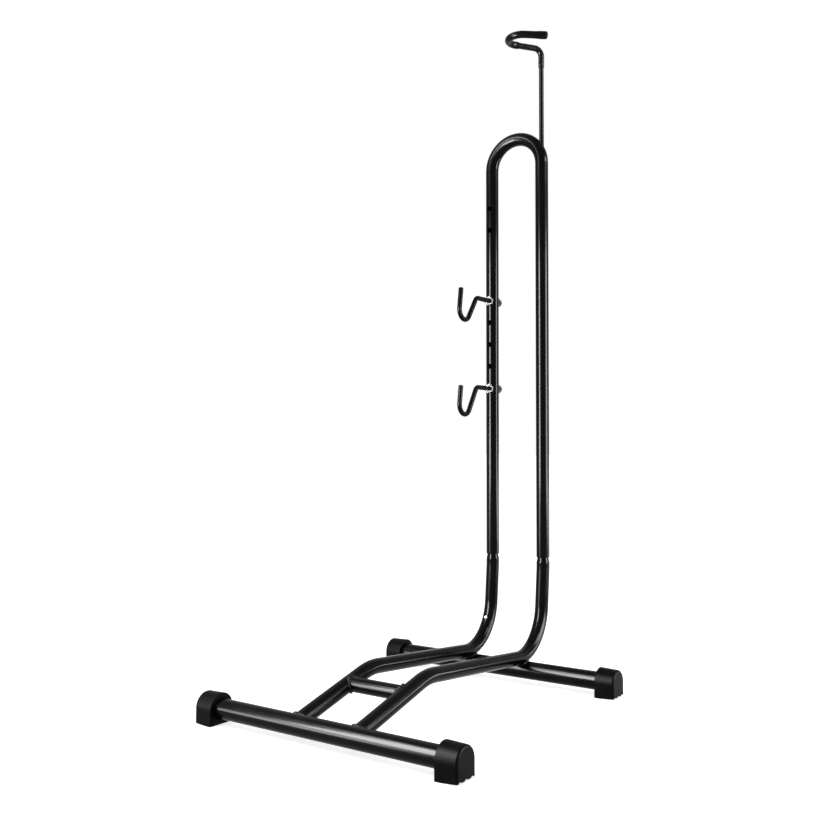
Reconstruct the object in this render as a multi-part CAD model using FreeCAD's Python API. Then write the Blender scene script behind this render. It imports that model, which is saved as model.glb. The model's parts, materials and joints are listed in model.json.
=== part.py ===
"""Floor bike rack: a welded base with two side tubes, a push-fit upright loop, two J hooks and a wheel hook.

Millimetres. +X runs along the base bars, +Y runs from the front bar towards the uprights, +Z is up.
The origin is on the floor, under the middle of the whole rack.
"""
import FreeCAD, Part
import math
import os

os.makedirs("parts", exist_ok=True)
Vector = FreeCAD.Vector
X_AXIS, Y_AXIS, Z_AXIS = Vector(1, 0, 0), Vector(0, 1, 0), Vector(0, 0, 1)

# ---- driving dimensions --------------------------------------------------------------------------
# frame tubing
tube_d = 25.4                 # uprights and side tubes
tube_wall = 2.0
leg_spacing = 111.4           # between the axes of the two uprights
crown_centre_z = 994.2        # where the upright legs end and the crown's half circle begins
upright_foot_z = 223.2        # lower end of the uprights
foot_rounding = 1.0           # rounding of that end's outer edge

# base bars
bar_d = 32.0
bar_wall = 1.5
bar_axis_z = 24.1
base_width = 487.0            # over the foot caps
front_reach = 591.1           # front bar's axis, forward of the uprights
rear_reach = 82.9             # rear bar's axis, forward of the uprights

# side tubes
kink_reach = 404.0            # top of the kink, forward of the uprights
kink_z = 74.0
kink_bend_r = 120.0
rear_slope = 4.94             # degrees that the rear run falls towards the uprights
rear_bend_r = 91.0
joint_bend_z = 202.2          # small bend that brings the leaning stub upright
joint_bend_r = 110.0
taper_length = 10.0           # swaged neck, from the full tube down to the spigot
spigot_length = 45.0
spigot_wall = 1.6
spigot_clearance = 0.15       # radial, spigot in the upright
vent_z = 100.2                 # plugged vent hole in the left rear bend
vent_d = 5.0
vent_plug_head_d = 7.0
vent_plug_head_h = 1.6
vent_plug_stem = 3.0
vent_plug_clearance = 0.1

# cross tube that stops the wheel
stop_reach = 462.0            # its axis, forward of the uprights
stop_d = 24.0
stop_wall = 1.5
weld_size = 1.9               # leg of every weld bead

# foot caps
cap_length = 35.5
cap_width = 49.0              # at the mouth; its half is the round top's radius
cap_taper = 1.2               # how much less that radius is at the outer end
cap_end_wall = 5.0
cap_clearance = 0.1           # radial, bar in cap
cap_end_rounding = 4.0
cap_mouth_rounding = 1.0
cap_socket_chamfer = 0.8
sole_flat_length = 10.0       # standing flat at the mouth; beyond it the sole rises outwards
sole_rise = 1.6               # at the outer end
groove_pitch = 15.6           # round-topped grooves in the sole, open at the outer end
groove_width = 8.0
groove_depth = 2.4
groove_length = 23.0
groove_count = 3

# row of hook holes through the left upright
hole_d = 10.5
hole_pitch = 44.0
lowest_hole_z = 553.2
lower_hole_count = 5
top_pair_z = 872.2
top_pair_count = 2

# J hooks
hook_rod_d = 9.4
thread_d = 10.0
thread_length = 22.0          # thread showing in front of the upright
shank_reach = 63.1            # corner of the first bend, forward of the uprights
shank_bend_r = 12.0
cradle_r = 18.9
tip_rounding = 2.0
lower_shank_bend = 58.6       # degrees from the shank down to the slanting drop
lower_slant_length = 46.4
lower_cradle_bend = 156.6     # degrees round the cradle
lower_tip_length = 34.0
upper_shank_bend = 54.4
upper_slant_length = 42.8
upper_cradle_bend = 152.4
upper_tip_length = 39.1
nut_gap = 0.2                 # between the nuts' faces and the upright's crest
lock_nut_flats = 17.0
lock_nut_height = 4.4
lock_nut_turn = 18.0          # degrees
cap_nut_flats = 17.0
cap_nut_hex_height = 8.0
cap_nut_dome_d = 16.0
cap_nut_height = 18.0
cap_nut_hole_depth = 13.0
shank_end_gap = 1.0           # shank's end to the bottom of that hole
thread_clearance = 0.05

# wheel hook
wheel_rod_d = 9.4
wheel_rod_bottom_z = 802.2
hook_plane_z = 1220.6
neck_bend_r = 15.0
neck_bend = 90.0              # degrees from the upright rod to the arm
arm_heading = 234.8           # degrees from +X, seen from above
arm_length = 55.5             # rod's axis to the start of the loop's arc
loop_r = 25.6
loop_angle = 165.0
free_arm_length = 44.4        # end of the arc to the end of the rod
rod_hole_clearance = 0.4      # radial, rod in the crown's hole
sleeve_bottom_z = 1184.6
sleeve_d = 11.6
pad_start = 51.0              # along the arm from the rod's axis
pad_d = 13.6
pad_tip_d = 14.8
pad_tip_length = 14.0
pad_flare_length = 12.0
pad_end_wall = 1.6
coat_clearance = 0.05         # radial, rod in its sleeve

# guide plug on the wheel hook's rod, inside the right upright
plug_length = 30.0
plug_clearance = 0.1          # radial, plug in the upright's bore
plug_floor = 4.0
plug_socket_clearance = 0.05
screw_d = 5.0
screw_depth = 14.0
screw_end_gap = 1.0
screw_head_d = 8.5
screw_head_h = 4.0
screw_socket_d = 4.0
screw_socket_depth = 2.4

# ---- sizes that follow ---------------------------------------------------------------------------
tube_r = tube_d / 2
bore_r = tube_r - tube_wall
half_spacing = leg_spacing / 2
bar_r = bar_d / 2
spigot_r = bore_r - spigot_clearance
shoulder_z = upright_foot_z - taper_length
back_reach = tube_r + nut_gap + cap_nut_height

# the rack's depth is centred on the origin: the caps are its front, the cap nuts its back
upright_y = (front_reach + cap_width / 2 - back_reach) / 2
front_y = upright_y - front_reach
rear_y = upright_y - rear_reach
kink_y = upright_y - kink_reach
stop_y = upright_y - stop_reach


# ---- shared shapes -------------------------------------------------------------------------------
def turned(vector, axis, degrees):
    """The vector turned about an axis through the origin."""
    return FreeCAD.Rotation(axis, degrees).multVec(vector)


class BentPath:
    """Centre line of a bent bar: straight runs and tangent arcs, laid one after another."""

    def __init__(self, start, heading):
        self.point = start
        self.heading = heading.normalize()
        self.edges = []

    def run(self, length):
        """Go straight on."""
        if length > 1e-6:
            end = self.point + self.heading * length
            self.edges.append(Part.LineSegment(self.point, end).toShape())
            self.point = end
        return self

    def bend(self, radius, degrees, axis):
        """Follow an arc that turns the heading about the axis, by the right-hand rule."""
        side = 1 if degrees > 0 else -1
        centre = self.point + axis.cross(self.heading) * radius * side
        spoke = self.point - centre
        middle = centre + turned(spoke, axis, degrees / 2)
        end = centre + turned(spoke, axis, degrees)
        self.edges.append(Part.Arc(self.point, middle, end).toShape())
        self.point = end
        self.heading = turned(self.heading, axis, degrees)
        return self

    def solid(self, diameter):
        """Round bar of that diameter along the whole line."""
        wire = Part.Wire(self.edges)
        first = self.edges[0]
        start = first.valueAt(first.FirstParameter)
        heading = first.tangentAt(first.FirstParameter)
        section = Part.Wire([Part.Circle(start, heading, diameter / 2).toShape()])
        return wire.makePipeShell([section], True, False)


def corner_path(corners, radii):
    """Bent path through corner points, with an arc of its own radius at each inner corner."""
    path = BentPath(corners[0], corners[1] - corners[0])
    reach = 0.0
    for before, corner, after, radius in zip(corners, corners[1:], corners[2:], radii):
        ahead = after - corner
        angle = math.degrees(path.heading.getAngle(ahead))
        axis = path.heading.cross(ahead).normalize()
        setback = radius * math.tan(math.radians(angle / 2))
        path.run((corner - before).Length - reach - setback)
        path.bend(radius, angle, axis)
        reach = setback
    path.run((corners[-1] - corners[-2]).Length - reach)
    return path


def cylinder(start, direction, length, diameter):
    return Part.makeCylinder(diameter / 2, length, start, direction)


def hexagon(start, direction, height, across_flats, turn=0.0):
    """Hexagonal prism with both ends' corners chamfered at 30 degrees."""
    corner_r = across_flats / 2 / math.cos(math.radians(30))
    points = [Vector(corner_r, 0, 0)]
    points = [turned(points[0], Z_AXIS, turn + 60 * i) for i in range(7)]
    prism = Part.Face(Part.makePolygon(points)).extrude(Z_AXIS * height)
    rise = (corner_r - across_flats / 2) * math.tan(math.radians(30))
    profile = [Vector(0, 0, 0), Vector(across_flats / 2, 0, 0), Vector(corner_r, 0, rise),
               Vector(corner_r, 0, height - rise), Vector(across_flats / 2, 0, height),
               Vector(0, 0, height), Vector(0, 0, 0)]
    barrel = Part.Face(Part.makePolygon(profile)).revolve(Vector(0, 0, 0), Z_AXIS, 360)
    nut = prism.common(barrel)
    nut.Placement = FreeCAD.Placement(start, FreeCAD.Rotation(Z_AXIS, direction))
    return nut


def save(name, *solids):
    """Write one node; identical pieces share a node as separate solids."""
    shape = solids[0] if len(solids) == 1 else Part.makeCompound(list(solids))
    pieces = shape.Solids
    assert len(pieces) == len(solids) and shape.isValid(), name
    if len(pieces) == 1:
        shape = pieces[0]
    shape.exportStep(os.path.join("parts", name + ".step"))
    box = shape.optimalBoundingBox()
    print(f"{name:24s} {len(pieces)} solid  volume {shape.Volume / 1000:8.2f} cm3  "
          f"x {box.XMin:7.1f} {box.XMax:7.1f}  y {box.YMin:7.1f} {box.YMax:7.1f}  "
          f"z {box.ZMin:7.1f} {box.ZMax:7.1f}")


# ---- upright loop --------------------------------------------------------------------------------
def upright_frame():
    """One tube: two upright legs joined by a half circle, open at both lower ends."""
    crown_z = crown_centre_z + half_spacing
    corners = [Vector(-half_spacing, upright_y, upright_foot_z), Vector(-half_spacing, upright_y, crown_z),
               Vector(half_spacing, upright_y, crown_z), Vector(half_spacing, upright_y, upright_foot_z)]
    path = corner_path(corners, [half_spacing, half_spacing])
    outer = path.solid(tube_d)
    feet = [edge for edge in outer.Edges
            if abs(edge.BoundBox.ZMax - upright_foot_z) < 0.01 and edge.BoundBox.ZLength < 0.01]
    outer = outer.makeFillet(foot_rounding, feet)
    frame = outer.cut(path.solid(2 * bore_r))
    for z in hook_hole_heights():
        start = Vector(-half_spacing, upright_y - tube_d, z)
        frame = frame.cut(cylinder(start, Y_AXIS, 2 * tube_d, hole_d))
    rod_hole_d = wheel_rod_d + 2 * rod_hole_clearance
    mouth = Vector(half_spacing, upright_y, crown_centre_z)
    return frame.cut(cylinder(mouth, Z_AXIS, half_spacing + tube_d, rod_hole_d))


def hook_hole_heights():
    """Heights of the holes through the left upright: the long row, then the pair near the top."""
    row = [lowest_hole_z + hole_pitch * i for i in range(lower_hole_count)]
    return row + [top_pair_z + hole_pitch * i for i in range(top_pair_count)]


# ---- welded base ---------------------------------------------------------------------------------
def side_tube_corners(x):
    """Corners of a side tube: front bar, kink, rear bend, joint bend, shoulder of the spigot."""
    kink = Vector(x, kink_y, kink_z)
    slope = math.radians(rear_slope)
    rear_heading = Vector(0, math.cos(slope), -math.sin(slope))
    joint = Vector(x, upright_y, joint_bend_z)
    rear_corner = kink + rear_heading * (joint - kink).dot(rear_heading)
    return [Vector(x, front_y, bar_axis_z), kink, rear_corner, joint, Vector(x, upright_y, shoulder_z)]


def side_tube_path(x):
    return corner_path(side_tube_corners(x), [kink_bend_r, rear_bend_r, joint_bend_r])


def on_side_tube(x, start, end):
    """Point where a side tube's centre line meets a straight line."""
    return Part.Wire(side_tube_path(x).edges).distToShape(Part.makeLine(start, end))[1][0][0]


def vent_point(x):
    """Point of the rear bend's centre line at the vent's height."""
    return on_side_tube(x, Vector(x, kink_y, vent_z), Vector(x, upright_y + tube_d, vent_z))


def bar_cylinder(y, diameter):
    """Full round bar on the axis of a base bar."""
    return cylinder(Vector(-base_width / 2, y, bar_axis_z), X_AXIS, base_width, diameter)


def neck(x, shoulder_r, spigot_top_r):
    """Swaged cone and spigot above the shoulder, for the outside or the bore."""
    shoulder = Vector(x, upright_y, shoulder_z)
    cone = Part.makeCone(shoulder_r, spigot_top_r, taper_length, shoulder)
    top = Vector(x, upright_y, upright_foot_z)
    return cone.fuse(cylinder(top, Z_AXIS, spigot_length, 2 * spigot_top_r))


def side_tube(x, vented):
    path = side_tube_path(x)
    outer = path.solid(tube_d).fuse(neck(x, tube_r, spigot_r))
    inner = path.solid(2 * bore_r).fuse(neck(x, bore_r, spigot_r - spigot_wall))
    tube = outer.cut(inner)
    tube = tube.cut(bar_cylinder(front_y, bar_d)).cut(bar_cylinder(rear_y, bar_d))
    if vented:
        inside = vent_point(x)
        tube = tube.cut(cylinder(inside, -Y_AXIS, inside.y - kink_y, vent_d))
    return max(tube.removeSplitter().Solids, key=lambda solid: solid.Volume)


def vent_plug(x):
    """Small domed plug pressed into the vent hole, facing the front."""
    tube = side_tube_path(x).solid(tube_d)
    outside = Vector(x, kink_y, vent_z)
    inside_tube = Part.makeLine(outside, vent_point(x)).common(tube)
    seat = Vector(x, inside_tube.BoundBox.YMin, vent_z)
    head_r = vent_plug_head_d / 2
    ball_r = (head_r ** 2 + vent_plug_head_h ** 2) / (2 * vent_plug_head_h)
    ball = Part.makeSphere(ball_r, seat + Y_AXIS * (ball_r - vent_plug_head_h))
    foot = seat + Y_AXIS * vent_plug_head_h
    head = cylinder(foot, -Y_AXIS, 3 * vent_plug_head_h, vent_plug_head_d).common(ball)
    head = head.cut(tube)
    stem_d = vent_d - 2 * vent_plug_clearance
    overlap = vent_plug_head_h / 2
    stem = cylinder(seat - Y_AXIS * overlap, Y_AXIS, vent_plug_stem + overlap, stem_d)
    return head.fuse(stem).removeSplitter()


def base_bar(y):
    length = base_width - 2 * cap_end_wall
    start = Vector(-length / 2, y, bar_axis_z)
    return cylinder(start, X_AXIS, length, bar_d).cut(
        cylinder(start, X_AXIS, length, bar_d - 2 * bar_wall))


def stop_cylinder(diameter):
    """Full round bar on the wheel stop's axis, from one side tube's axis to the other's."""
    x = -half_spacing
    start = on_side_tube(x, Vector(x, stop_y, 0), Vector(x, stop_y, vent_z))
    return cylinder(start, X_AXIS, leg_spacing, diameter)


def wheel_stop():
    """Cross tube between the side tubes, its ends coped to their round."""
    bar = stop_cylinder(stop_d)
    for x in (-half_spacing, half_spacing):
        bar = bar.cut(side_tube_path(x).solid(tube_d))
    solid = max(bar.Solids, key=lambda piece: piece.Volume)
    return solid.cut(stop_cylinder(stop_d - 2 * stop_wall))


def side_tube_welds(bar, grown_bar):
    """Beads where the side tubes meet a bar: what lies within both grown members but outside both."""
    beads = []
    for x in (-half_spacing, half_spacing):
        path = side_tube_path(x)
        bead = path.solid(tube_d + 2 * weld_size).common(grown_bar)
        bead = bead.cut(path.solid(tube_d)).cut(bar).removeSplitter()
        beads.append(max(bead.Solids, key=lambda solid: solid.Volume))
    return beads


def base_bar_welds(y):
    return side_tube_welds(bar_cylinder(y, bar_d), bar_cylinder(y, bar_d + 2 * weld_size))


def stop_welds():
    return side_tube_welds(stop_cylinder(stop_d), stop_cylinder(stop_d + 2 * weld_size))


# ---- foot caps -----------------------------------------------------------------------------------
def cap_body(mouth_x, outer_x, y):
    """Solid outside of a foot cap: round top on the bar's axis, upright sides, flat sole, all tapering."""
    mouth_r, end_r = cap_width / 2, cap_width / 2 - cap_taper
    plan = [Vector(mouth_x, y - mouth_r, 0), Vector(outer_x, y - end_r, 0),
            Vector(outer_x, y + end_r, 0), Vector(mouth_x, y + mouth_r, 0)]
    lower = Part.Face(Part.makePolygon(plan + plan[:1])).extrude(Z_AXIS * bar_axis_z)
    mouth = Vector(mouth_x, y, bar_axis_z)
    cone = Part.makeCone(mouth_r, end_r, cap_length, mouth, Vector(outer_x - mouth_x, 0, 0))
    above = Part.makeBox(cap_length, cap_width, cap_width,
                         Vector(min(mouth_x, outer_x), y - mouth_r, bar_axis_z))
    return lower.fuse(cone.common(above)).removeSplitter()


def sole_relief(mouth_x, outer_x, y):
    """Wedge under a cap's sole that leaves it flat at the mouth and rising towards the outer end."""
    flat_x = mouth_x + math.copysign(sole_flat_length, outer_x - mouth_x)
    flat_end = Vector(flat_x, y - cap_width, 0)
    slope = Vector(outer_x, y - cap_width, sole_rise) - flat_end
    beyond = flat_end + slope * 2
    below = Z_AXIS * sole_rise
    side = [flat_end - below, flat_end, beyond, Vector(beyond.x, beyond.y, 0) - below, flat_end - below]
    return Part.Face(Part.makePolygon(side)).extrude(Y_AXIS * 2 * cap_width)


def cap_rim(cap, x):
    """Edges of a cap's arch in the plane of that X, without the sole's edge."""
    return [edge for edge in cap.Edges if edge.BoundBox.XLength < 0.01
            and abs(edge.BoundBox.XMin - x) < 0.01 and edge.BoundBox.ZMax > sole_rise + 0.01]


def foot_cap(side, y):
    """Rubber cap on one end of a base bar: arched outside, round socket, grooved sole."""
    outer_x = side * base_width / 2
    mouth_x = outer_x - side * cap_length
    inward = X_AXIS * -side
    cap = cap_body(mouth_x, outer_x, y).cut(sole_relief(mouth_x, outer_x, y))
    cap = cap.makeFillet(cap_end_rounding, cap_rim(cap, outer_x))
    cap = cap.makeFillet(cap_mouth_rounding, cap_rim(cap, mouth_x))
    socket_start = Vector(outer_x, y, bar_axis_z) + inward * cap_end_wall
    socket_d = bar_d + 2 * cap_clearance
    cap = cap.cut(cylinder(socket_start, inward, cap_length, socket_d))
    lead_in = Vector(mouth_x, y, bar_axis_z) - inward * cap_socket_chamfer
    cap = cap.cut(Part.makeCone(socket_d / 2, socket_d / 2 + 2 * cap_socket_chamfer,
                                2 * cap_socket_chamfer, lead_in, inward))
    groove_r = ((groove_width / 2) ** 2 + groove_depth ** 2) / (2 * groove_depth)
    for i in range(groove_count):
        groove_y = y + (i - (groove_count - 1) / 2) * groove_pitch
        start = Vector(outer_x, groove_y, sole_rise + groove_depth - groove_r) - inward * groove_length
        cap = cap.cut(cylinder(start, inward, 2 * groove_length, 2 * groove_r))
    return cap


# ---- J hooks -------------------------------------------------------------------------------------
def j_hook_rod(z, shank_bend, slant_length, cradle_bend, tip_length):
    """Bent rod: threaded shank through the upright, slanting drop, round cradle, upright tip."""
    back_y = upright_y + tube_r + nut_gap + cap_nut_hole_depth - shank_end_gap
    start = Vector(-half_spacing, back_y, z)
    setback = shank_bend_r * math.tan(math.radians(shank_bend / 2))
    path = BentPath(start, -Y_AXIS)
    path.run(back_y - (upright_y - shank_reach) - setback)
    path.bend(shank_bend_r, shank_bend, X_AXIS)
    path.run(slant_length)
    path.bend(cradle_r, -cradle_bend, X_AXIS)
    path.run(tip_length)
    rod = path.solid(hook_rod_d)
    tip = [edge for edge in rod.Edges if (edge.CenterOfMass - path.point).Length < 0.01]
    rod = rod.makeFillet(tip_rounding, tip)
    thread = cylinder(start, -Y_AXIS, back_y - upright_y + tube_r + thread_length, thread_d)
    return rod.fuse(thread).removeSplitter()


def lock_nut(z):
    """Thin hexagon nut against the front of the upright."""
    face = Vector(-half_spacing, upright_y - tube_r - nut_gap, z)
    nut = hexagon(face, -Y_AXIS, lock_nut_height, lock_nut_flats, lock_nut_turn)
    through = face + Y_AXIS * lock_nut_height
    return nut.cut(cylinder(through, -Y_AXIS, 3 * lock_nut_height, thread_d + 2 * thread_clearance))


def cap_nut(z):
    """Domed nut behind the upright, with a blind threaded hole."""
    face = Vector(-half_spacing, upright_y + tube_r + nut_gap, z)
    body = hexagon(face, Y_AXIS, cap_nut_hex_height, cap_nut_flats)
    dome_r = cap_nut_dome_d / 2
    ball_centre = face + Y_AXIS * (cap_nut_height - dome_r)
    neck_length = cap_nut_height - dome_r - cap_nut_hex_height / 2
    body = body.fuse(cylinder(face + Y_AXIS * cap_nut_hex_height / 2, Y_AXIS, neck_length, cap_nut_dome_d))
    body = body.fuse(Part.makeSphere(dome_r, ball_centre)).removeSplitter()
    hole_d_cap = thread_d + 2 * thread_clearance
    before = face - Y_AXIS * cap_nut_hole_depth
    return body.cut(cylinder(before, Y_AXIS, 2 * cap_nut_hole_depth, hole_d_cap))


# ---- wheel hook ----------------------------------------------------------------------------------
def wheel_hook_path(start_z):
    """The rod's line from a height on its upright part, over the neck bend, to the loop's arc."""
    path = BentPath(Vector(half_spacing, upright_y, start_z), Z_AXIS)
    path.run(hook_plane_z - neck_bend_r - start_z)
    path.bend(neck_bend_r, neck_bend, turned(X_AXIS, Z_AXIS, arm_heading + 90))
    return path


def wheel_hook_rod():
    path = wheel_hook_path(wheel_rod_bottom_z)
    path.run(arm_length - neck_bend_r)
    path.bend(loop_r, loop_angle, Z_AXIS)
    path.run(free_arm_length - pad_end_wall)
    rod = path.solid(wheel_rod_d)
    bottom = Vector(half_spacing, upright_y, wheel_rod_bottom_z)
    return rod.cut(cylinder(bottom, Z_AXIS, screw_depth, screw_d + 2 * thread_clearance))


def wheel_hook_sleeve():
    """Thin sleeve over the top of the upright rod, the neck bend and the arm."""
    path = wheel_hook_path(sleeve_bottom_z)
    path.run(pad_start - neck_bend_r)
    return path.solid(sleeve_d).cut(path.solid(wheel_rod_d + 2 * coat_clearance))


def wheel_hook_pad():
    """Thicker sleeve over the loop and the free arm, swelling to a closed round end."""
    arm = turned(X_AXIS, Z_AXIS, arm_heading)
    path = BentPath(Vector(half_spacing, upright_y, hook_plane_z) + arm * pad_start, arm)
    path.run(arm_length - pad_start)
    path.bend(loop_r, loop_angle, Z_AXIS)
    arc_end, heading = path.point, path.heading
    flare_start = arc_end + heading * (free_arm_length - pad_tip_length - pad_flare_length)
    path.run(free_arm_length - pad_end_wall)
    flare = Part.makeCone(pad_d / 2, pad_tip_d / 2, pad_flare_length, flare_start, heading)
    end = arc_end + heading * free_arm_length
    tip = cylinder(end - heading * pad_tip_length, heading, pad_tip_length, pad_tip_d)
    rim = [edge for edge in tip.Edges if (edge.CenterOfMass - end).Length < 0.01]
    tip = tip.makeFillet(pad_tip_d / 4, rim)
    pad = path.solid(pad_d).fuse([flare, tip])
    return pad.cut(path.solid(wheel_rod_d + 2 * coat_clearance))


def guide_plug():
    """Plastic plug on the rod's lower end; it slides and turns in the upright's bore."""
    floor_z = wheel_rod_bottom_z - plug_floor
    foot = Vector(half_spacing, upright_y, floor_z)
    plug = cylinder(foot, Z_AXIS, plug_length, 2 * (bore_r - plug_clearance))
    socket = Vector(half_spacing, upright_y, wheel_rod_bottom_z)
    plug = plug.cut(cylinder(socket, Z_AXIS, plug_length, wheel_rod_d + 2 * plug_socket_clearance))
    below = foot - Z_AXIS * plug_floor
    return plug.cut(cylinder(below, Z_AXIS, 3 * plug_floor, screw_d + 2 * thread_clearance))


def plug_screw():
    """Socket-head screw that holds the plug to the rod's lower end."""
    head_top = Vector(half_spacing, upright_y, wheel_rod_bottom_z - plug_floor)
    shank_length = plug_floor + screw_depth - screw_end_gap
    screw = cylinder(head_top, Z_AXIS, shank_length, screw_d)
    screw = screw.fuse(cylinder(head_top, -Z_AXIS, screw_head_h, screw_head_d))
    socket = hexagon(head_top - Z_AXIS * 2 * screw_head_h, Z_AXIS, screw_head_h + screw_socket_depth,
                     screw_socket_d)
    return screw.cut(socket).removeSplitter()


# ---- build ---------------------------------------------------------------------------------------
sides = {"left": -half_spacing, "right": half_spacing}
hook_heights = {"lower": hook_hole_heights()[0], "upper": hook_hole_heights()[lower_hole_count - 1]}
hook_bends = {"lower": (lower_shank_bend, lower_slant_length, lower_cradle_bend, lower_tip_length),
              "upper": (upper_shank_bend, upper_slant_length, upper_cradle_bend, upper_tip_length)}

save("upright_frame", upright_frame())
for name, x in sides.items():
    save(name + "_side_tube", side_tube(x, vented=name == "left"))
save("vent_plug", vent_plug(sides["left"]))
save("front_base_bar", base_bar(front_y))
save("rear_base_bar", base_bar(rear_y))
save("wheel_stop_bar", wheel_stop())
save("front_bar_welds", *base_bar_welds(front_y))
save("rear_bar_welds", *base_bar_welds(rear_y))
save("stop_bar_welds", *stop_welds())
for row, y in {"front": front_y, "rear": rear_y}.items():
    save(row + "_left_foot_cap", foot_cap(-1, y))
    save(row + "_right_foot_cap", foot_cap(1, y))
for name, z in hook_heights.items():
    save(name + "_hook_rod", j_hook_rod(z, *hook_bends[name]))
    save(name + "_hook_lock_nut", lock_nut(z))
    save(name + "_hook_cap_nut", cap_nut(z))
save("wheel_hook_rod", wheel_hook_rod())
save("wheel_hook_sleeve", wheel_hook_sleeve())
save("wheel_hook_pad", wheel_hook_pad())
save("rod_guide_plug", guide_plug())
save("guide_plug_screw", plug_screw())
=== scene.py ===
import json
import math
import bpy
import numpy as np
from mathutils import Matrix, Vector


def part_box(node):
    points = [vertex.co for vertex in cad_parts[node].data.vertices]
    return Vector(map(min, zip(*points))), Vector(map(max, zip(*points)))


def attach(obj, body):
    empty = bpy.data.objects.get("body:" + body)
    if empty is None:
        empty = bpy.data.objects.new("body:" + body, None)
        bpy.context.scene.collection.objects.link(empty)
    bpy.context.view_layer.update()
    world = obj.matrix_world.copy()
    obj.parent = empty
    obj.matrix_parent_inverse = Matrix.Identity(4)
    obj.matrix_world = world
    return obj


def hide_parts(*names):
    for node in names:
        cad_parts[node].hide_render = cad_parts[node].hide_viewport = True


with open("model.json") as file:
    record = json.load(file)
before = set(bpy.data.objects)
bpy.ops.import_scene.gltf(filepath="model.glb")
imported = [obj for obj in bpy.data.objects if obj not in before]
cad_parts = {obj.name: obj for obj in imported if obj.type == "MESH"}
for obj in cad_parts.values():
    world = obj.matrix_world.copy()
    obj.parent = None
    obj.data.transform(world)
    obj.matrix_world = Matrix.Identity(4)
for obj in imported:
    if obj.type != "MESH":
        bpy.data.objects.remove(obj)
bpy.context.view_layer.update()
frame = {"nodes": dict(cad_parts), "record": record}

nodes = frame["nodes"]


# ---- Upright loop and side tubes ---------------------------------------------------------------
# Bent one-inch steel tube, powder-coated gloss black after welding. The coat has flowed into a faint
# orange peel, with a thin haze, fine rub marks and now and then a speck of dust caught in it.

def new_material(name, slot):
    """A material with nodes; returns it with its tree and its Principled shader."""
    material = bpy.data.materials.new(name)
    material.use_nodes = True
    material["slot"] = slot
    return material, material.node_tree, material.node_tree.nodes["Principled BSDF"]


def add(tree, kind, **settings):
    """Adds a node; a setting named like a socket fills that socket, any other is the node's own."""
    node = tree.nodes.new(kind)
    for key, value in settings.items():
        if key in node.inputs.keys():
            node.inputs[key].default_value = value
        else:
            setattr(node, key, value)
    return node


def math_node(tree, operation, first, second, clamp=False):
    """A Math node of two values, each a number or another node's output; returns its output."""
    node = add(tree, "ShaderNodeMath", operation=operation, use_clamp=clamp)
    for socket, value in zip(node.inputs, (first, second)):
        if isinstance(value, (int, float)):
            socket.default_value = value
        else:
            tree.links.new(value, socket)
    return node.outputs["Value"]


def ramp(tree, value, low, high, start=0.0, end=1.0):
    """Maps a value from low..high to start..end, held at both ends; returns the output."""
    limits = {"From Min": low, "From Max": high, "To Min": start, "To Max": end}
    node = add(tree, "ShaderNodeMapRange", **limits)
    tree.links.new(value, node.inputs["Value"])
    return node.outputs["Result"]


def blend_colour(tree, amount, first, second):
    """Mixes a colour output with a second one, or with a fixed colour, by an amount."""
    node = add(tree, "ShaderNodeMix", data_type="RGBA")
    tree.links.new(amount, node.inputs["Factor"])
    tree.links.new(first, node.inputs[6])
    if isinstance(second, tuple):
        node.inputs[7].default_value = second
    else:
        tree.links.new(second, node.inputs[7])
    return node.outputs[2]


def blend_value(tree, amount, first, second):
    """Mixes two value outputs by an amount."""
    node = add(tree, "ShaderNodeMix", data_type="FLOAT")
    tree.links.new(amount, node.inputs["Factor"])
    tree.links.new(first, node.inputs[2])
    tree.links.new(second, node.inputs[3])
    return node.outputs[0]


def group(name, inputs):
    """An empty node group with the named inputs, which puts out a colour, a roughness and a normal."""
    tree = bpy.data.node_groups.new(name, "ShaderNodeTree")
    for title, default in inputs.items():
        kind = "NodeSocketFloat" if isinstance(default, float) else "NodeSocketColor"
        tree.interface.new_socket(title, in_out="INPUT", socket_type=kind).default_value = default
    for title, kind in (("Color", "NodeSocketColor"), ("Roughness", "NodeSocketFloat"),
                        ("Normal", "NodeSocketVector")):
        tree.interface.new_socket(title, in_out="OUTPUT", socket_type=kind)
    return tree, tree.nodes.new("NodeGroupInput"), tree.nodes.new("NodeGroupOutput")


def noise(tree, place, scale, detail, roughness):
    """Noise texture on the given coordinates; its scale is a number or an output."""
    node = add(tree, "ShaderNodeTexNoise", Detail=detail, Roughness=roughness)
    tree.links.new(place, node.inputs["Vector"])
    if isinstance(scale, float):
        node.inputs["Scale"].default_value = scale
    else:
        tree.links.new(scale, node.inputs["Scale"])
    return node.outputs["Fac"]


def stretched(tree, place, scale):
    """Coordinates scaled unevenly, which draws a pattern out into streaks."""
    node = add(tree, "ShaderNodeMapping", Scale=scale)
    tree.links.new(place, node.inputs["Vector"])
    return node.outputs["Vector"]


def specks(tree, place, scale, size, share):
    """Small round specks in a share of the cells of a Voronoi pattern."""
    cells = add(tree, "ShaderNodeTexVoronoi", feature="F1", Scale=scale, Randomness=1.0)
    tree.links.new(place, cells.inputs["Vector"])
    lot = add(tree, "ShaderNodeSeparateColor")
    tree.links.new(cells.outputs["Color"], lot.inputs["Color"])
    spot = ramp(tree, cells.outputs["Distance"], size, 1.8 * size, 1.0, 0.0)
    chosen = math_node(tree, "GREATER_THAN", lot.outputs["Red"], 1.0 - share)
    return math_node(tree, "MULTIPLY", spot, chosen)


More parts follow.
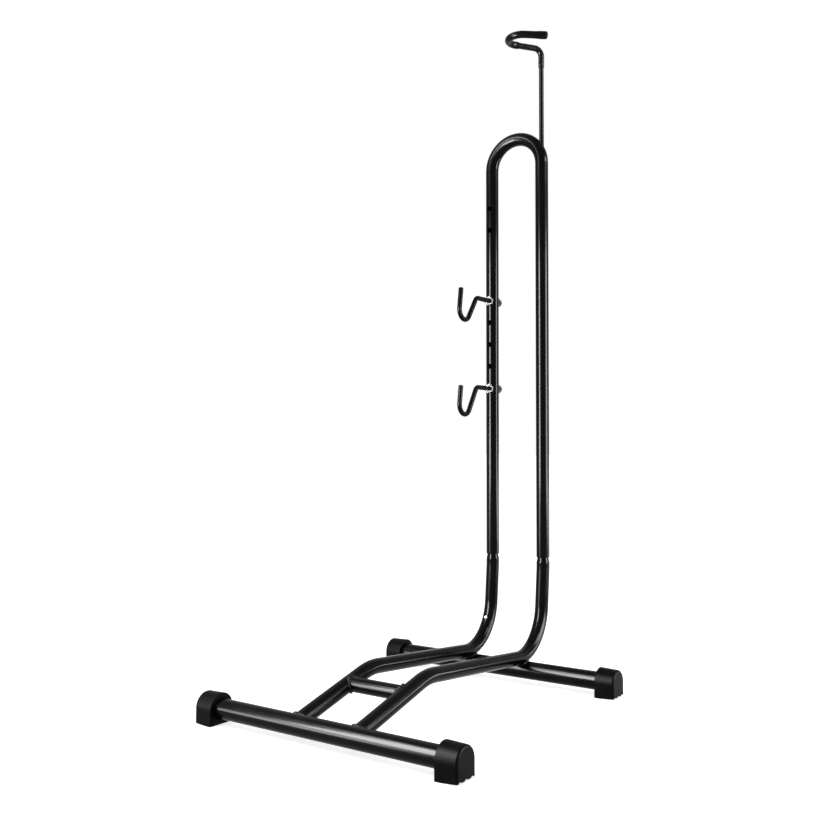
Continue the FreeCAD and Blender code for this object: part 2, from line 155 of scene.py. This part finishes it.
def coat_surface():
    """Powder coat: broad haze, streaks of fine rub marks and sparse dust specks over fine orange peel."""
    tree, given, out = group("powder coat surface", {
        "Color": (0.0015, 0.0015, 0.0016, 1), "Haze Color": (0.006, 0.006, 0.0065, 1),
        "Gloss Roughness": 0.17, "Haze Roughness": 0.2, "Peel Scale": 260.0, "Peel Strength": 0.005,
        "Rub": 0.3, "Dust": 0.4})
    place = add(tree, "ShaderNodeTexCoord").outputs["Object"]
    haze = ramp(tree, noise(tree, place, 14.0, 5.0, 0.62), 0.4, 0.72)
    across = noise(tree, stretched(tree, place, (900.0, 900.0, 30.0)), 1.0, 3.0, 0.6)
    along = noise(tree, stretched(tree, place, (40.0, 700.0, 700.0)), 1.0, 3.0, 0.6)
    patch = ramp(tree, noise(tree, place, 9.0, 3.0, 0.5), 0.46, 0.66)
    rubs = ramp(tree, math_node(tree, "MAXIMUM", across, along), 0.66, 0.76)
    rubs = math_node(tree, "MULTIPLY", math_node(tree, "MULTIPLY", rubs, patch), given.outputs["Rub"])
    dust = math_node(tree, "MULTIPLY", specks(tree, place, 120.0, 0.05, 0.08), given.outputs["Dust"])
    amount = math_node(tree, "MULTIPLY", haze, 0.45)
    amount = math_node(tree, "ADD", math_node(tree, "ADD", amount, rubs), dust, clamp=True)
    relief = add(tree, "ShaderNodeBump", Distance=0.0005)
    tree.links.new(noise(tree, place, given.outputs["Peel Scale"], 2.0, 0.45), relief.inputs["Height"])
    tree.links.new(given.outputs["Peel Strength"], relief.inputs["Strength"])
    colour = blend_colour(tree, amount, given.outputs["Color"], given.outputs["Haze Color"])
    rough = blend_value(tree, amount, given.outputs["Gloss Roughness"], given.outputs["Haze Roughness"])
    tree.links.new(colour, out.inputs["Color"])
    tree.links.new(rough, out.inputs["Roughness"])
    tree.links.new(relief.outputs["Normal"], out.inputs["Normal"])
    return tree


def surface_from(tree, shader, source, **values):
    """Places a surface group, fills its inputs and feeds colour, roughness and normal to the shader."""
    placed = tree.nodes.new("ShaderNodeGroup")
    placed.node_tree = source
    for key, value in values.items():
        placed.inputs[key.replace("_", " ")].default_value = value
    tree.links.new(placed.outputs["Color"], shader.inputs["Base Color"])
    tree.links.new(placed.outputs["Roughness"], shader.inputs["Roughness"])
    tree.links.new(placed.outputs["Normal"], shader.inputs["Normal"])
    return placed


def dress(names, material):
    """Gives CAD nodes their material."""
    for name in names:
        nodes[name].data.materials.clear()
        nodes[name].data.materials.append(material)


coat = coat_surface()
frame_coat, tree, shader = new_material("gloss black frame coat", "black_powder_coat")
surface_from(tree, shader, coat)
shader.inputs["Specular IOR Level"].default_value = 0.045
dress(["upright_frame", "left_side_tube", "right_side_tube"], frame_coat)


# ---- Base bars and wheel-stop bar --------------------------------------------------------------
# Straight 32 mm floor bars and the 24 mm cross tube, sawn and welded, in the same coat. Shoes and
# wheels touch them, so they are hazier and more rubbed than the uprights.

bar_coat, tree, shader = new_material("gloss black base bar coat", "black_powder_coat")
surface_from(tree, shader, coat, Color=(0.0018, 0.0018, 0.002, 1), Haze_Color=(0.009, 0.009, 0.0095, 1),
             Gloss_Roughness=0.19, Haze_Roughness=0.26, Rub=0.5, Dust=0.6)
shader.inputs["Specular IOR Level"].default_value = 0.05
dress(["front_base_bar", "rear_base_bar", "wheel_stop_bar"], bar_coat)


# ---- Weld beads --------------------------------------------------------------------------------
# Fillet beads round the base's joints, laid by hand in small overlapping ripples before coating. The
# powder bridges their hollows, with a few grains of spatter left under it.

tube_r = 0.0127
bead_r = 0.0026
ripple = 0.16               # share by which a ripple's crest stands out
ripple_length = 0.0021
bead_sides = 14
joint_points = 420
kink_reach, kink_z = 0.404, 0.074      # side tubes' kink: how far before the uprights, and its height
rear_slope, rear_bend_r, rear_run = math.radians(4.94), 0.091, 0.3005

leg_low, leg_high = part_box("upright_frame")
half_spacing = (leg_high[0] - leg_low[0]) / 2 - tube_r
upright_y = (leg_low[1] + leg_high[1]) / 2


def bar_axis(name):
    """Y and Z of a cross bar's axis, and its radius, from its node's box."""
    low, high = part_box(name)
    return (low[1] + high[1]) / 2, (low[2] + high[2]) / 2, (high[2] - low[2]) / 2


def linked_object(name, data):
    """A new object of a mesh, lamp or camera, put in the scene."""
    made = bpy.data.objects.new(name, data)
    bpy.context.scene.collection.objects.link(made)
    return made


def tube_mesh(name, grid, ring=False):
    """Mesh of a tube from a grid of points: rows run along it and columns go round it, which closes.

    With ring the rows close as well, and otherwise the first and last row are closed by a face each.
    """
    rows, columns = grid.shape[:2]
    row, column = np.meshgrid(np.arange(rows if ring else rows - 1), np.arange(columns), indexing="ij")
    next_row, next_column = (row + 1) % rows, (column + 1) % columns
    corners = [row * columns + column, row * columns + next_column,
               next_row * columns + next_column, next_row * columns + column]
    faces = np.stack(corners, axis=-1).reshape(-1, 4).tolist()
    if not ring:
        first = np.arange(columns)
        faces += [first[::-1].tolist(), (first + (rows - 1) * columns).tolist()]
    mesh = bpy.data.meshes.new(name)
    mesh.from_pydata(grid.reshape(-1, 3).tolist(), [], faces)
    mesh.shade_smooth()
    return mesh


def bead_grid(line, outward):
    """Weld bead: a round section carried along a closed line, its radius swelling in even ripples.

    A point is line + r (cos v outward + sin v side), where side is the line's tangent crossed with
    outward, v goes once round, and r = bead_r (1 + ripple (1 - |sin(pi w)|)), with w counting ripples.
    """
    tangent = np.roll(line, -1, axis=0) - np.roll(line, 1, axis=0)
    step = np.linalg.norm(tangent, axis=1, keepdims=True) / 2
    tangent /= 2 * step
    outward = outward - (outward * tangent).sum(axis=1, keepdims=True) * tangent
    outward /= np.linalg.norm(outward, axis=1, keepdims=True)
    side = np.cross(tangent, outward)
    waves = round(float(step.sum()) / ripple_length)
    w = np.cumsum(step) / step.sum() * waves
    r = bead_r * (1 + ripple * (1 - np.abs(np.sin(math.pi * w))))
    v = np.linspace(0, 2 * math.pi, bead_sides, endpoint=False)
    turn = np.cos(v)[None, :, None] * outward[:, None, :] + np.sin(v)[None, :, None] * side[:, None, :]
    return line[:, None, :] + r[:, None, None] * turn


def butt_joint(x, bar, heading, way):
    """Closed line where a side tube runs into a bar that it starts from, or a bar ends on a side tube.

    With a the angle round the smaller member, of radius r, and R the larger one's, a point lies
    sqrt(R^2 - r^2 sin^2 a) along the smaller one from the crossing of the axes, and r off its axis.
    """
    y, z, bar_r = bar
    small, large = (tube_r, bar_r) if way == "tube" else (bar_r, tube_r)
    forward = np.array([0.0, math.cos(heading), math.sin(heading)])
    upward = np.array([0.0, -math.sin(heading), math.cos(heading)])
    across = np.array([1.0, 0.0, 0.0])
    along, first = (forward, across) if way == "tube" else (-np.sign(x) * across, np.sign(x) * forward)
    a = np.linspace(0, 2 * math.pi, joint_points, endpoint=False)[:, None]
    off_axis = small * (np.cos(a) * first + np.sin(a) * upward)
    reach = np.sqrt(large ** 2 - (small * np.sin(a)) ** 2)
    line = np.array([x, y, z]) + reach * along + off_axis
    on_large = reach * along + small * np.sin(a) * upward
    return line, off_axis / small + on_large / large


def saddle_joint(x, bar):
    """Closed line where a side tube's rear bend rests in a cope on the rear bar.

    At the angle b round the bar, its surface is d off the bend's centre line in the bend's own plane,
    so the two surfaces meet sqrt(r^2 - d^2) to each side of it, r being the tube's radius.
    """
    y, z, bar_r = bar
    centre_y = (upright_y - kink_reach + rear_run * math.cos(rear_slope)
                + rear_bend_r * math.sin(rear_slope))
    centre_z = kink_z - rear_run * math.sin(rear_slope) + rear_bend_r * math.cos(rear_slope)
    b = np.linspace(-1.4, 1.4, 4001)        # most of the bar's upper half, searched for the two ends
    gap = np.hypot(y + bar_r * np.sin(b) - centre_y, z + bar_r * np.cos(b) - centre_z) - rear_bend_r
    touching = b[np.abs(gap) < tube_r]
    turn = np.linspace(0, 2 * math.pi, joint_points, endpoint=False)
    b = (touching[0] + touching[-1]) / 2 - (touching[-1] - touching[0]) / 2 * np.cos(turn)
    spoke = np.stack([y + bar_r * np.sin(b) - centre_y, z + bar_r * np.cos(b) - centre_z], axis=1)
    length = np.linalg.norm(spoke, axis=1)
    off = length - rear_bend_r
    sideways = np.sign(np.sin(turn)) * np.sqrt(np.clip(tube_r ** 2 - off ** 2, 0, None))
    line = np.stack([x + sideways, y + bar_r * np.sin(b), z + bar_r * np.cos(b)], axis=1)
    on_tube = np.column_stack([sideways, spoke * (off / length)[:, None]]) / tube_r
    on_bar = np.stack([np.zeros_like(b), np.sin(b), np.cos(b)], axis=1)
    return line, on_tube + on_bar


weld_coat, tree, shader = new_material("coated weld bead", "coated_weld")
surface_from(tree, shader, coat, Color=(0.002, 0.002, 0.0022, 1), Haze_Color=(0.011, 0.011, 0.012, 1),
             Gloss_Roughness=0.18, Haze_Roughness=0.3, Peel_Scale=900.0, Peel_Strength=0.1, Dust=0.8)
shader.inputs["Specular IOR Level"].default_value = 0.06

front_bar, rear_bar, stop_bar = map(bar_axis, ("front_base_bar", "rear_base_bar", "wheel_stop_bar"))
front_slope = math.atan2(stop_bar[1] - front_bar[1], stop_bar[0] - front_bar[0])
for node, joint in (("front_bar_welds", lambda x: butt_joint(x, front_bar, front_slope, "tube")),
                    ("rear_bar_welds", lambda x: saddle_joint(x, rear_bar)),
                    ("stop_bar_welds", lambda x: butt_joint(x, stop_bar, front_slope, "bar"))):
    pair = [tube_mesh(node, bead_grid(*joint(x)), ring=True) for x in (-half_spacing, half_spacing)]
    beads = linked_object(node + "_rippled", pair[0])
    second = linked_object(node + "_second", pair[1])
    with bpy.context.temp_override(active_object=beads, selected_editable_objects=[beads, second]):
        bpy.ops.object.join()
    beads.data.materials.append(weld_coat)
    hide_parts(node)
    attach(beads, "frame")


# ---- Vent plug ---------------------------------------------------------------------------------
# Small domed plug of nickel-plated steel, pressed into the vent hole of the left side tube's bend. The
# plating carries fine polishing lines and a breath of tarnish.

def plated_surface():
    """Plated metal: fine drawn lines in two directions, clouds of tarnish and a few dull pits."""
    tree, given, out = group("plated metal surface", {
        "Color": (0.55, 0.55, 0.56, 1), "Tarnish Color": (0.25, 0.24, 0.22, 1), "Bright Roughness": 0.2,
        "Dull Roughness": 0.42, "Line Strength": 0.12, "Tarnish": 0.5})
    place = add(tree, "ShaderNodeTexCoord").outputs["Object"]
    upright_lines = noise(tree, stretched(tree, place, (2600.0, 2600.0, 160.0)), 1.0, 3.0, 0.6)
    level_lines = noise(tree, stretched(tree, place, (160.0, 2600.0, 2600.0)), 1.0, 3.0, 0.6)
    lines = math_node(tree, "MULTIPLY", math_node(tree, "ADD", upright_lines, level_lines), 0.5)
    cloud = ramp(tree, noise(tree, place, 260.0, 4.0, 0.6), 0.45, 0.7)
    pits = specks(tree, place, 900.0, 0.12, 0.12)
    marks = math_node(tree, "ADD", cloud, pits, clamp=True)
    amount = math_node(tree, "MULTIPLY", marks, given.outputs["Tarnish"])
    dulled = math_node(tree, "ADD", amount, math_node(tree, "MULTIPLY", lines, 0.25), clamp=True)
    relief = add(tree, "ShaderNodeBump", Distance=0.0002)
    tree.links.new(lines, relief.inputs["Height"])
    tree.links.new(given.outputs["Line Strength"], relief.inputs["Strength"])
    colour = blend_colour(tree, amount, given.outputs["Color"], given.outputs["Tarnish Color"])
    rough = blend_value(tree, dulled, given.outputs["Bright Roughness"], given.outputs["Dull Roughness"])
    tree.links.new(colour, out.inputs["Color"])
    tree.links.new(rough, out.inputs["Roughness"])
    tree.links.new(relief.outputs["Normal"], out.inputs["Normal"])
    return tree


plated = plated_surface()
nickel, tree, shader = new_material("nickel plug", "nickel_plug")
surface_from(tree, shader, plated)
shader.inputs["Metallic"].default_value = 1.0
dress(["vent_plug"], nickel)


# ---- Foot caps ---------------------------------------------------------------------------------
# Moulded black rubber boots, pushed over the floor bars' ends. The mould's spark-eroded grain leaves
# them satin, with a bloom that greys their flats and scuffs low down where shoes catch them.

def moulded_surface():
    """Moulded rubber: fine grain, cloudy bloom, pale scuff streaks and pinhead specks."""
    tree, given, out = group("moulded rubber surface", {
        "Color": (0.002, 0.002, 0.0021, 1), "Bloom Color": (0.008, 0.008, 0.0083, 1),
        "Satin Roughness": 0.36, "Dry Roughness": 0.52, "Grain Scale": 1100.0, "Grain Strength": 0.2,
        "Scuff": 0.6})
    place = add(tree, "ShaderNodeTexCoord").outputs["Object"]
    bloom = ramp(tree, noise(tree, place, 45.0, 6.0, 0.65), 0.38, 0.72)
    streaks = noise(tree, stretched(tree, place, (70.0, 420.0, 420.0)), 1.0, 4.0, 0.65)
    patch = ramp(tree, noise(tree, place, 30.0, 3.0, 0.5), 0.48, 0.62)
    scuffs = math_node(tree, "MULTIPLY", ramp(tree, streaks, 0.62, 0.74), patch)
    scuffs = math_node(tree, "MULTIPLY", scuffs, given.outputs["Scuff"])
    dots = math_node(tree, "MULTIPLY", specks(tree, place, 260.0, 0.06, 0.1), 0.6)
    amount = math_node(tree, "ADD", math_node(tree, "MULTIPLY", bloom, 0.5), scuffs)
    amount = math_node(tree, "ADD", amount, dots, clamp=True)
    relief = add(tree, "ShaderNodeBump", Distance=0.0004)
    tree.links.new(noise(tree, place, given.outputs["Grain Scale"], 3.0, 0.6), relief.inputs["Height"])
    tree.links.new(given.outputs["Grain Strength"], relief.inputs["Strength"])
    colour = blend_colour(tree, amount, given.outputs["Color"], given.outputs["Bloom Color"])
    rough = blend_value(tree, amount, given.outputs["Satin Roughness"], given.outputs["Dry Roughness"])
    tree.links.new(colour, out.inputs["Color"])
    tree.links.new(rough, out.inputs["Roughness"])
    tree.links.new(relief.outputs["Normal"], out.inputs["Normal"])
    return tree


moulded = moulded_surface()
cap_rubber, tree, shader = new_material("moulded black rubber", "cap_rubber")
surface_from(tree, shader, moulded)
shader.inputs["Specular IOR Level"].default_value = 0.02
dress([end + "_foot_cap" for end in ("front_left", "front_right", "rear_left", "rear_right")], cap_rubber)


# ---- J hooks -----------------------------------------------------------------------------------
# Rods bent cold to a shank, a slanting drop, a round cradle and an upright tip. An M10 thread is rolled
# on the shank before the rod is coated black, and the coat has worn dull on the thread's crests.

hook_rod_r = 0.0047
thread_r, thread_depth, thread_pitch = 0.005, 0.00085, 0.0015
thread_in_front = 0.0095    # thread in front of the leg, a little longer than the lock nut
shank_behind = 0.0122       # shank behind the leg, inside the domed nut
shank_reach = 0.0631        # corner of the first bend, in front of the leg's axis
shank_bend_r, cradle_r = 0.012, 0.0189
tip_rounding = 0.002
hook_sides = 48
thread_steps, plain_step = 12, 0.0009       # rows in one pitch of thread, and their spacing elsewhere
tip_rows, tip_end = 7, 0.47 * math.pi       # the rounding stops just short of a point


def hook_rows(joint_z, shank_bend, drop, cradle_bend, tip):
    """Rows of points for a hook's rod, and how much of a thread crest each point is.

    The rod's line has the heading (0, -cos t, -sin t), where t is the turn made so far: 0 on the shank,
    rising evenly round the first bend and falling round the cradle. Its radius is the rod's, or on the
    thread thread_r - thread_depth (1 - cos(2 pi (s / pitch - v / 2 pi))) / 2 at the length s and the
    angle v, and near the tip it shrinks as a quarter circle.
    """
    back = tube_r + shank_behind
    shank = back + shank_reach - shank_bend_r * math.tan(shank_bend / 2)
    lengths = np.array([shank, shank_bend_r * shank_bend, drop, cradle_r * cradle_bend, tip])
    ends = np.cumsum(lengths)
    threaded = back + tube_r + thread_in_front
    s = np.concatenate([np.arange(0, threaded + thread_pitch, thread_pitch / thread_steps),
                        np.arange(threaded + 1.1 * thread_pitch, ends[-1] - tip_rounding, plain_step),
                        ends[-1] - tip_rounding * np.cos(np.linspace(0, tip_end, tip_rows))])
    t = (np.clip(s - ends[0], 0, lengths[1]) / shank_bend_r
         - np.clip(s - ends[2], 0, lengths[3]) / cradle_r)
    halfway = (t[1:] + t[:-1]) / 2
    step = np.diff(s)[:, None] * np.stack([0 * halfway, -np.cos(halfway), -np.sin(halfway)], axis=1)
    start = np.array([[-half_spacing, upright_y + back, joint_z]])
    line = np.cumsum(np.vstack([start, step]), axis=0)
    v = np.linspace(0, 2 * math.pi, hook_sides, endpoint=False)
    turn = 2 * math.pi * s[:, None] / thread_pitch - v
    crest = (1 + np.cos(turn)) / 2
    on_thread = np.clip((threaded - s) / thread_pitch, 0, 1)[:, None]
    end = np.clip((s - ends[-1] + tip_rounding) / tip_rounding, 0, 1)
    plain_r = (hook_rod_r - tip_rounding * (1 - np.sqrt(1 - end ** 2)))[:, None]
    r = plain_r + on_thread * (thread_r - thread_depth * (1 - crest) - plain_r)
    down = np.stack([0 * s, np.sin(t), -np.cos(t)], axis=1)
    ring = np.cos(v)[None, :, None] * down[:, None, :] - np.sin(v)[None, :, None] * np.array([1.0, 0, 0])
    return line[:, None, :] + r[:, :, None] * ring, crest * on_thread


hook_coat, tree, shader = new_material("gloss black hook rod", "black_hook_rod")
black = surface_from(tree, shader, coat, Color=(0.0012, 0.0012, 0.0013, 1),
                     Haze_Color=(0.005, 0.005, 0.0053, 1), Gloss_Roughness=0.2, Haze_Roughness=0.24,
                     Peel_Scale=500.0, Rub=0.4, Dust=0.15)
shader.inputs["Specular IOR Level"].default_value = 0.035
crest = add(tree, "ShaderNodeAttribute", attribute_name="thread_crest")
place = add(tree, "ShaderNodeTexCoord").outputs["Object"]
chipped = ramp(tree, noise(tree, place, 700.0, 3.0, 0.6), 0.4, 0.6)
worn = math_node(tree, "MULTIPLY", ramp(tree, crest.outputs["Fac"], 0.8, 0.97), chipped)
tree.links.new(blend_colour(tree, worn, black.outputs["Color"], (0.03, 0.03, 0.03, 1)),
               shader.inputs["Base Color"])

# angle of the first bend, length of the drop, angle round the cradle and length of the tip
hook_shapes = {"lower": (58.6, 0.0464, 156.6, 0.034), "upper": (54.4, 0.0428, 152.4, 0.0391)}
hinge_heights = {joint["name"]: joint["pos_m"][2] for joint in frame["record"]["behaviour"]["joints"]
                 if joint["type"] == "hinge"}
for name, (shank_bend, drop, cradle_bend, tip) in hook_shapes.items():
    rows, crests = hook_rows(hinge_heights[name + "_hook_turn"], math.radians(shank_bend), drop,
                             math.radians(cradle_bend), tip)
    mesh = tube_mesh(name + "_hook_threaded_rod", rows)
    wear = mesh.attributes.new("thread_crest", "FLOAT", "POINT")
    wear.data.foreach_set("value", crests.astype(np.float32).ravel())
    mesh.materials.append(hook_coat)
    rod = linked_object(name + "_hook_threaded_rod", mesh)
    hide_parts(name + "_hook_rod")
    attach(rod, name + "_hook")


# ---- Hook nuts ---------------------------------------------------------------------------------
# Thin hexagon nuts of bright zinc-plated steel lock the hooks in front of the leg, and domed chrome nuts
# close them behind it. Their chrome is given a very dark colour: painted shade, standing for the dark
# surroundings it mirrors. The guide plug's screw inside the right leg is plated like the lock nuts.

zinc, tree, shader = new_material("bright zinc", "bright_zinc")
surface_from(tree, shader, plated, Color=(0.36, 0.36, 0.365, 1), Tarnish_Color=(0.22, 0.22, 0.216, 1),
             Bright_Roughness=0.07, Dull_Roughness=0.13, Line_Strength=0.03)
shader.inputs["Metallic"].default_value = 1.0
dress(["lower_hook_lock_nut", "upper_hook_lock_nut", "guide_plug_screw"], zinc)

# Chrome of the domed nuts with its colour set very dark: painted shade for the dark surroundings it
# mirrors.
chrome_painted_dark, tree, shader = new_material("chrome painted dark for mirrored shade", "bright_chrome")
surface_from(tree, shader, plated, Color=(0.035, 0.035, 0.036, 1), Tarnish_Color=(0.018, 0.018, 0.018, 1),
             Bright_Roughness=0.12, Dull_Roughness=0.28, Line_Strength=0.05, Tarnish=0.35)
shader.inputs["Metallic"].default_value = 1.0
dress(["lower_hook_cap_nut", "upper_hook_cap_nut"], chrome_painted_dark)


# ---- Wheel hook --------------------------------------------------------------------------------
# A black-coated rod that slides in the right leg, with a thin rubber sleeve shrunk on its neck and arm
# and a thicker dipped pad round its loop. A plastic plug guides its lower end inside the leg.

rod_coat, tree, shader = new_material("gloss black wheel hook rod", "black_hook_rod")
surface_from(tree, shader, coat, Color=(0.0018, 0.0018, 0.002, 1), Haze_Color=(0.008, 0.008, 0.0085, 1),
             Gloss_Roughness=0.18, Haze_Roughness=0.24, Peel_Scale=500.0, Rub=0.5)
shader.inputs["Specular IOR Level"].default_value = 0.045
dress(["wheel_hook_rod"], rod_coat)

sleeve_rubber, tree, shader = new_material("soft black sleeve", "soft_black_sleeve")
surface_from(tree, shader, moulded, Color=(0.002, 0.002, 0.0022, 1), Bloom_Color=(0.01, 0.01, 0.0105, 1),
             Satin_Roughness=0.2, Dry_Roughness=0.32, Grain_Scale=1500.0, Grain_Strength=0.08, Scuff=0.5)
shader.inputs["Specular IOR Level"].default_value = 0.1
dress(["wheel_hook_sleeve"], sleeve_rubber)

pad_rubber, tree, shader = new_material("dipped black pad", "soft_black_pad")
surface_from(tree, shader, moulded, Color=(0.002, 0.002, 0.0022, 1), Bloom_Color=(0.01, 0.01, 0.0105, 1),
             Satin_Roughness=0.2, Dry_Roughness=0.36, Grain_Scale=800.0, Grain_Strength=0.07, Scuff=0.4)
shader.inputs["Specular IOR Level"].default_value = 0.05
dress(["wheel_hook_pad"], pad_rubber)

plug_plastic, tree, shader = new_material("moulded black plug", "plug_plastic")
surface_from(tree, shader, moulded, Color=(0.02, 0.02, 0.021, 1), Bloom_Color=(0.05, 0.05, 0.052, 1),
             Satin_Roughness=0.4, Dry_Roughness=0.55, Grain_Scale=2000.0, Grain_Strength=0.1, Scuff=0.8)
shader.inputs["Specular IOR Level"].default_value = 0.4
dress(["rod_guide_plug"], plug_plastic)


# ---- Studio ------------------------------------------------------------------------------------
# A plain white floor, an even white surround, soft boxes that only the gloss picks up, as lines, one
# overhead lamp for the shadow, and the camera where the photograph was taken from.

def background_share(tree):
    """1 for the rays that see the background directly, through glass or in a gloss, and 0 for the rest."""
    rays = add(tree, "ShaderNodeLightPath")
    seen = math_node(tree, "ADD", rays.outputs["Is Camera Ray"], rays.outputs["Is Transmission Ray"],
                     clamp=True)
    return math_node(tree, "ADD", seen, rays.outputs["Is Glossy Ray"], clamp=True)


floor_reach = 40.0
floor_lift = 0.66
floor_mesh = bpy.data.meshes.new("floor")
floor_mesh.from_pydata([(-floor_reach, -floor_reach, 0), (floor_reach, -floor_reach, 0),
                        (floor_reach, floor_reach, 0), (-floor_reach, floor_reach, 0)], [], [(0, 1, 2, 3)])
floor = linked_object("floor", floor_mesh)
paper, tree, shader = new_material("white paper floor", "none")
shader.inputs["Base Color"].default_value = (0.9, 0.9, 0.9, 1)
shader.inputs["Roughness"].default_value = 0.9
shader.inputs["Specular IOR Level"].default_value = 0.1
shader.inputs["Emission Color"].default_value = (1, 1, 1, 1)
tree.links.new(math_node(tree, "MULTIPLY", background_share(tree), floor_lift),
               shader.inputs["Emission Strength"])
floor_mesh.materials.append(paper)

surround_light = 0.78
world = bpy.data.worlds.new("studio")
bpy.context.scene.world = world
world.use_nodes = True
tree = world.node_tree
tree.nodes["Background"].inputs["Color"].default_value = (1, 1, 1, 1)
tree.links.new(ramp(tree, background_share(tree), 0.0, 1.0, surround_light, 1.0),
               tree.nodes["Background"].inputs["Strength"])


def soft_box(name, place, aim, width, height, radiance, gloss_only):
    """An even rectangular lamp at a place, aimed at a point; no camera sees it."""
    lamp = bpy.data.lights.new(name, "AREA")
    lamp.shape = "RECTANGLE"
    lamp.size = width
    lamp.size_y = height
    lamp.energy = radiance * math.pi * width * height
    box = linked_object(name, lamp)
    look = (Vector(aim) - Vector(place)).to_track_quat("-Z", "Y")
    box.matrix_world = Matrix.Translation(place) @ look.to_matrix().to_4x4()
    box.visible_camera = False
    box.visible_diffuse = not gloss_only


soft_box("front left strip", (-0.45, -0.98, 0.7), (0.0, 0.29, 0.65), 0.4, 0.8, 140.0, True)
soft_box("low front left box", (-1.2, -1.75, 0.25), (0.0, -0.17, 0.07), 0.6, 0.5, 65.0, True)
soft_box("upper left box", (-1.0, -1.25, 1.9), (0.0, 0.0, 0.6), 0.7, 0.6, 60.0, True)
soft_box("right strip", (2.4, 0.9, 0.75), (0.0, 0.29, 0.6), 1.2, 1.2, 65.0, True)
soft_box("upper right box", (2.4, 0.9, 2.0), (0.05, 0.29, 1.1), 1.2, 0.4, 60.0, True)
soft_box("low back right box", (1.65, 1.75, 0.14), (0.0, -0.2, 0.07), 0.8, 0.28, 35.0, True)
soft_box("overhead lamp", (-0.9, -1.2, 2.6), (0.0, 0.0, 0.3), 1.6, 1.6, 1.6, False)

camera_place = (0.9043, -1.38275, 0.4386)
camera_data = bpy.data.cameras.new("camera")
camera_data.lens = 42.10
camera_data.sensor_width = 36.0
camera = linked_object("camera", camera_data)
heading, tilt, roll = (math.radians(angle) for angle in (34.813, 92.188, 0.108))
camera.matrix_world = (Matrix.Translation(camera_place) @ Matrix.Rotation(heading, 4, "Z")
                       @ Matrix.Rotation(tilt, 4, "X") @ Matrix.Rotation(roll, 4, "Z"))
bpy.context.scene.camera = camera
bpy.context.scene.view_settings.view_transform = "Standard"
